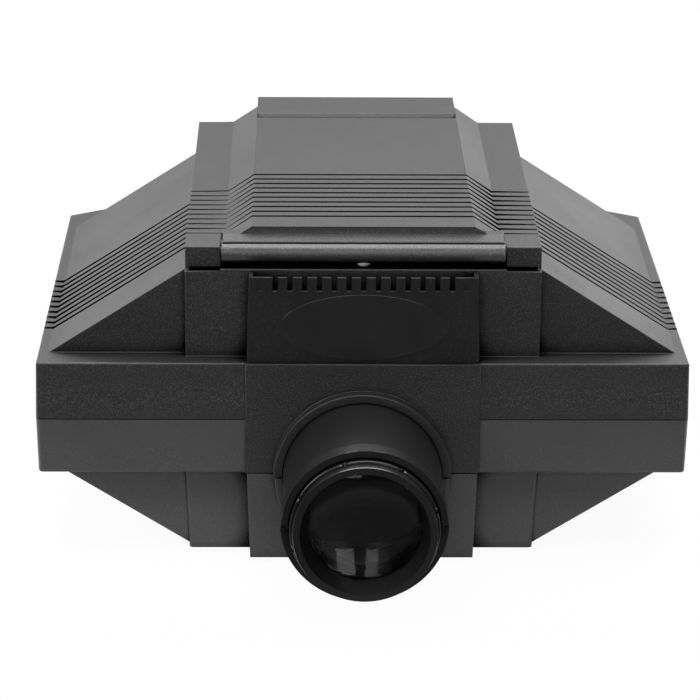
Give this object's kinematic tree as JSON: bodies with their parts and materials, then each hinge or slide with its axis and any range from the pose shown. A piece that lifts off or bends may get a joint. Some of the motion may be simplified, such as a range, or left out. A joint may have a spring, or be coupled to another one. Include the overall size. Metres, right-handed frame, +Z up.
{
  "type": "opaque projector",
  "caption": "Desk-top opaque projector: hinged lid over a copy glass, sloped lamp wings, mirror inside, and a screw-focus lens that stands out in front.",
  "frame": {"origin": "middle of the bounding box, on the surface that the feet stand on", "axes": "+Z up, +Y from the lens towards the back, +X to the right seen from the lens side; the lens looks along -Y"},
  "size_m": [0.465, 0.4958, 0.2455],
  "materials": {
    "housing": "fine moulded texture, black",
    "tube": "fine moulded texture, black",
    "barrel": "satin black",
    "plate": "polished black",
    "lens_glass": "polished optical glass",
    "window_glass": "polished float glass",
    "mirror": "first-surface mirror",
    "sheet_metal": "black painted sheet",
    "black_sheet": "matt black sheet",
    "spring_steel": "plain spring steel",
    "steel": "bright zinc plated",
    "black_screw": "blackened steel",
    "rubber": "matt black rubber",
    "liner": "matt black sheet",
    "foam": "black foam faced with cloth",
    "heat_sink": "extruded",
    "light_board": "white solder mask",
    "led": "yellow phosphor",
    "diffuser": "frosted white",
    "fan": "satin black",
    "grille": "satin black",
    "circuit_board": "green solder mask",
    "transformer": "varnished core",
    "capacitor": "sleeved cans",
    "fitting": "satin black",
    "contact": "plated brass",
    "rocker": "glossy black",
    "wire": "insulated wire"
  },
  "bodies": {
    "housing": {"upper_housing": "housing", "lower_housing": "housing", "vent_panel": "housing", "lens_tube_upper": "tube", "lens_tube_lower": "tube", "name_plate": "plate", "copy_glass": "window_glass", "image_mirror": "mirror", "mirror_bracket": "sheet_metal", "light_baffle": "black_sheet", "mirror_clips": "spring_steel", "glass_clips": "spring_steel", "clip_screws": "steel", "housing_screws": "black_screw", "foot_screws": "steel", "fan_screws": "black_screw", "board_screws": "steel", "light_screws": "steel", "tube_screws": "steel", "guide_screw": "steel", "hinge_pins": "steel", "feet": "rubber", "heat_sink_left": "heat_sink", "heat_sink_right": "heat_sink", "light_board_left": "light_board", "light_board_right": "light_board", "led_chips": "led", "diffuser_left": "diffuser", "diffuser_right": "diffuser", "fan_frame_left": "fan", "fan_frame_right": "fan", "rear_grille_left": "grille", "rear_grille_right": "grille", "driver_board": "circuit_board", "transformer": "transformer", "capacitors": "capacitor", "power_inlet": "fitting", "inlet_pins": "contact", "switch_body": "fitting", "light_wires": "wire", "power_wires": "wire"},
    "lid": {"lid_shell": "housing", "hinge_barrel": "housing", "hinge_screw": "steel", "lid_liner": "liner", "liner_screws": "black_screw", "pressure_pad": "foam"},
    "lens_cell": {"lens_cell": "barrel", "front_element": "lens_glass", "middle_element": "lens_glass", "rear_element": "lens_glass", "front_spacer": "barrel", "rear_spacer": "barrel", "lock_ring": "barrel"},
    "focus_barrel": {"focus_barrel": "barrel", "barrel_retainer": "barrel"},
    "fan_rotor_left": {"fan_rotor_left": "fan"},
    "fan_rotor_right": {"fan_rotor_right": "fan"},
    "switch_rocker": {"switch_rocker": "rocker"}
  },
  "joints": [
    {"name": "lid_hinge", "type": "hinge", "parent": "housing", "child": "lid", "pos_m": [0, -0.11015, 0.228], "axis": [1, 0, 0], "range_deg": [0, 100]},
    {"name": "lens_travel", "type": "slide", "parent": "housing", "child": "lens_cell", "axis": [0, -1, 0], "range_m": [-0.008, 0.045]},
    {"name": "focus_turn", "type": "hinge", "parent": "lens_cell", "child": "focus_barrel", "pos_m": [0, -0.19615, 0.0695], "axis": [0, -1, 0], "range_deg": [-40.05, 225.05]},
    {"name": "fan_spin_left", "type": "hinge", "parent": "housing", "child": "fan_rotor_left", "pos_m": [-0.055, 0.20085, 0.18545], "axis": [0, 1, 0], "continuous": true},
    {"name": "fan_spin_right", "type": "hinge", "parent": "housing", "child": "fan_rotor_right", "pos_m": [0.055, 0.20085, 0.18545], "axis": [0, 1, 0], "continuous": true},
    {"name": "power_switch", "type": "hinge", "parent": "housing", "child": "switch_rocker", "pos_m": [-0.025, 0.21405, 0.036], "axis": [0, 0, 1], "range_deg": [0, 18]}
  ],
  "couplings": [
    {"joint": "focus_turn", "follows": "lens_travel", "rad_per_m": 87.266}
  ]
}
